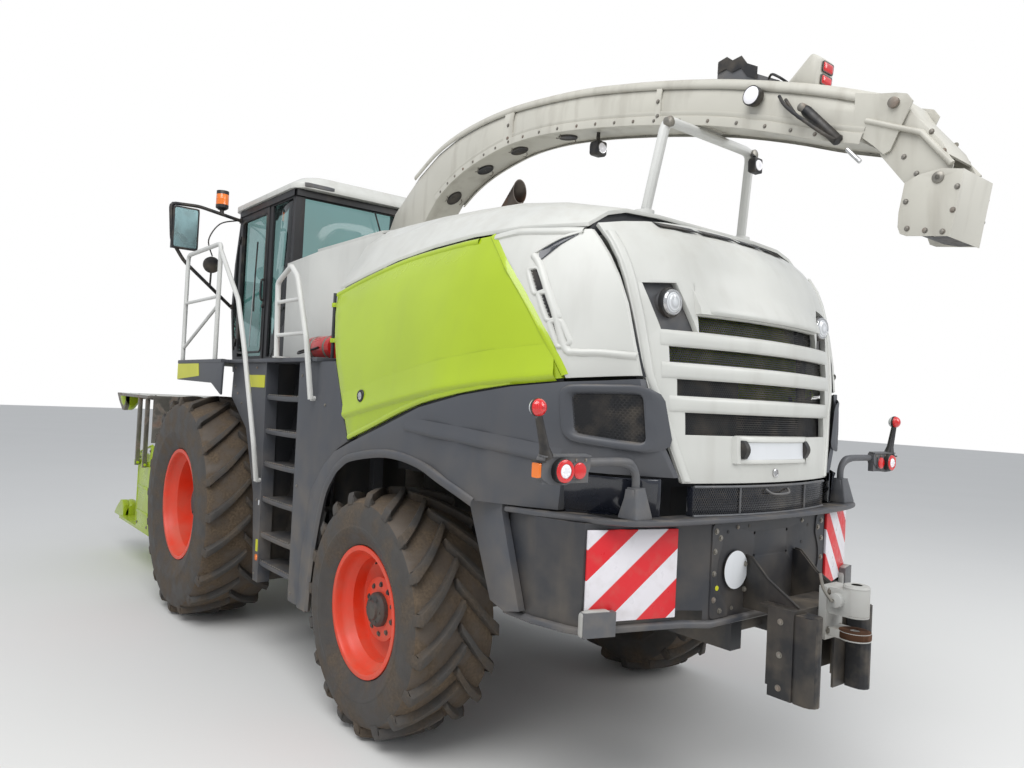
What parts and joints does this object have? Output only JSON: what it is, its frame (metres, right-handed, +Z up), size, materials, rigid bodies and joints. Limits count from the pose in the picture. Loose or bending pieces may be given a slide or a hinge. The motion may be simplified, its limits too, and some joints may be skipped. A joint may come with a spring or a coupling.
{
  "type": "forage harvester",
  "caption": "Self-propelled forage harvester with cab, swinging discharge spout, side doors, steered rear wheels and a maize header folded for the road.",
  "frame": {"origin": "on the ground, in the middle of the length and the width", "axes": "+X forward towards the header, +Y to the machine's left, +Z up"},
  "size_m": [9.49, 3.36, 4.334],
  "materials": {
    "anthracite_paint": "satin",
    "offwhite_paint": "satin",
    "lime_paint": "gloss",
    "rim_red_paint": "satin",
    "white_paint": "satin",
    "black_paint": "satin",
    "red_paint": "gloss",
    "tyre_rubber": "matt",
    "bare_steel": "worn",
    "coupling_grey": "matt",
    "cab_glass": "clear",
    "seat_cloth": "matt",
    "black_plastic": "matt",
    "lamp_plastic": "clear",
    "warning_foil": "reflective"
  },
  "bodies": {
    "machine": {"chassis_frame": "anthracite_paint", "front_axle": "anthracite_paint", "rear_axle": "anthracite_paint", "engine_block": "bare_steel", "deck": "anthracite_paint", "ladder_box": "anthracite_paint", "hand_rails": "white_paint", "extinguisher": "red_paint", "cab_shell": "anthracite_paint", "cab_roof": "offwhite_paint", "cab_windows": "cab_glass", "driver_seat": "seat_cloth", "mirrors": "black_plastic", "wedge_panels": "offwhite_paint", "body_frame": "anthracite_paint", "hood_roof": "offwhite_paint", "rear_side_panels": "offwhite_paint", "rear_fenders": "anthracite_paint", "mesh_band": "black_plastic", "tail_frame": "anthracite_paint", "warning_panels": "warning_foil", "hitch_frame": "black_paint", "tow_coupling": "coupling_grey", "rear_lights": "anthracite_paint", "spout_rest": "white_paint", "exhaust_stack": "bare_steel", "turret_base": "bare_steel"},
    "wheel_front_left": {"rim_front_left": "rim_red_paint", "tyre_front_left": "tyre_rubber"},
    "wheel_front_right": {"rim_front_right": "rim_red_paint", "tyre_front_right": "tyre_rubber"},
    "steering_left": {"knuckle_left": "bare_steel"},
    "steering_right": {"knuckle_right": "bare_steel"},
    "wheel_rear_left": {"rim_rear_left": "rim_red_paint", "tyre_rear_left": "tyre_rubber"},
    "wheel_rear_right": {"rim_rear_right": "rim_red_paint", "tyre_rear_right": "tyre_rubber"},
    "cab_door": {"cab_door": "anthracite_paint", "door_window": "cab_glass"},
    "side_door_left": {"green_door_left": "lime_paint"},
    "side_door_right": {"green_door_right": "lime_paint"},
    "rear_cowl": {"rear_cowl": "offwhite_paint", "cowl_lamps": "lamp_plastic"},
    "turret": {"spout_turret": "offwhite_paint"},
    "spout": {"spout_arm": "offwhite_paint", "spout_middle": "offwhite_paint", "spout_end": "offwhite_paint", "spout_lamps": "black_plastic"},
    "upper_flap": {"upper_flap": "offwhite_paint"},
    "lower_flap": {"lower_flap": "offwhite_paint"},
    "header": {"intake_housing": "anthracite_paint", "header_frame": "lime_paint"},
    "drum_left": {"drum_left": "bare_steel"},
    "drum_right": {"drum_right": "bare_steel"},
    "wing_left": {"wing_left": "bare_steel"},
    "wing_right": {"wing_right": "bare_steel"},
    "wing_drum_left": {"wing_drum_left": "bare_steel"},
    "wing_drum_right": {"wing_drum_right": "bare_steel"}
  },
  "joints": [
    {"name": "front_wheel_left_spin", "type": "hinge", "parent": "machine", "child": "wheel_front_left", "pos_m": [1.31, 1.325, 1], "axis": [0, 1, 0], "continuous": true},
    {"name": "front_wheel_right_spin", "type": "hinge", "parent": "machine", "child": "wheel_front_right", "pos_m": [1.31, -1.325, 1], "axis": [0, 1, 0], "continuous": true},
    {"name": "steering_left", "type": "hinge", "parent": "machine", "child": "steering_left", "pos_m": [-1.88, 0.95, 0.755], "axis": [0, 0, 1], "range_deg": [-35, 35]},
    {"name": "steering_right", "type": "hinge", "parent": "machine", "child": "steering_right", "pos_m": [-1.88, -0.95, 0.755], "axis": [0, 0, 1], "range_deg": [-35, 35]},
    {"name": "rear_wheel_left_spin", "type": "hinge", "parent": "steering_left", "child": "wheel_rear_left", "pos_m": [-1.88, 1.17, 0.755], "axis": [0, 1, 0], "continuous": true},
    {"name": "rear_wheel_right_spin", "type": "hinge", "parent": "steering_right", "child": "wheel_rear_right", "pos_m": [-1.88, -1.17, 0.755], "axis": [0, 1, 0], "continuous": true},
    {"name": "cab_door_hinge", "type": "hinge", "parent": "machine", "child": "cab_door", "pos_m": [2.106, 0.916, 3], "axis": [0, 0, 1], "range_deg": [-40, 0]},
    {"name": "side_door_left_hinge", "type": "hinge", "parent": "machine", "child": "side_door_left", "pos_m": [-1.072, 1.312, 2.5], "axis": [0, 0, 1], "range_deg": [-80, 0]},
    {"name": "side_door_right_hinge", "type": "hinge", "parent": "machine", "child": "side_door_right", "pos_m": [-1.072, -1.312, 2.5], "axis": [0, 0, 1], "range_deg": [0, 80]},
    {"name": "rear_cowl_hinge", "type": "hinge", "parent": "machine", "child": "rear_cowl", "pos_m": [-3.285, 0, 3.12], "axis": [0, 1, 0], "range_deg": [0, 45]},
    {"name": "turret_turn", "type": "hinge", "parent": "machine", "child": "turret", "pos_m": [0.26, 0, 3.15], "axis": [0, 0, 1], "range_deg": [-100, 100]},
    {"name": "spout_lift", "type": "hinge", "parent": "turret", "child": "spout", "pos_m": [0.59, 0, 3.262], "axis": [0, 1, 0], "range_deg": [0, 30]},
    {"name": "upper_flap_hinge", "type": "hinge", "parent": "spout", "child": "upper_flap", "pos_m": [-4.424, 0, 3.57], "axis": [0, 1, 0], "range_deg": [0, 45]},
    {"name": "lower_flap_hinge", "type": "hinge", "parent": "upper_flap", "child": "lower_flap", "pos_m": [-4.638, 0, 3.176], "axis": [0, 1, 0], "range_deg": [0, 45]},
    {"name": "header_lift", "type": "hinge", "parent": "machine", "child": "header", "pos_m": [1.87, 0, 0.96], "axis": [0, -1, 0], "range_deg": [-6, 12]},
    {"name": "drum_left_spin", "type": "hinge", "parent": "header", "child": "drum_left", "pos_m": [3.73, 0.69, 0.6], "axis": [0, 0, 1], "continuous": true},
    {"name": "drum_right_spin", "type": "hinge", "parent": "header", "child": "drum_right", "pos_m": [3.73, -0.69, 0.6], "axis": [0, 0, 1], "continuous": true},
    {"name": "wing_left_fold", "type": "hinge", "parent": "header", "child": "wing_left", "pos_m": [3.21, 1.495, 1.185], "axis": [-1, 0, 0], "range_deg": [0, 180]},
    {"name": "wing_right_fold", "type": "hinge", "parent": "header", "child": "wing_right", "pos_m": [3.21, -1.495, 1.185], "axis": [1, 0, 0], "range_deg": [0, 180]},
    {"name": "wing_drum_left_spin", "type": "hinge", "parent": "wing_left", "child": "wing_drum_left", "pos_m": [3.73, 0.755, 1.8], "axis": [0, 0, 1], "continuous": true},
    {"name": "wing_drum_right_spin", "type": "hinge", "parent": "wing_right", "child": "wing_drum_right", "pos_m": [3.73, -0.755, 1.8], "axis": [0, 0, 1], "continuous": true}
  ],
  "couplings": [
    {"joint": "steering_right", "follows": "steering_left", "ratio": 1}
  ]
}
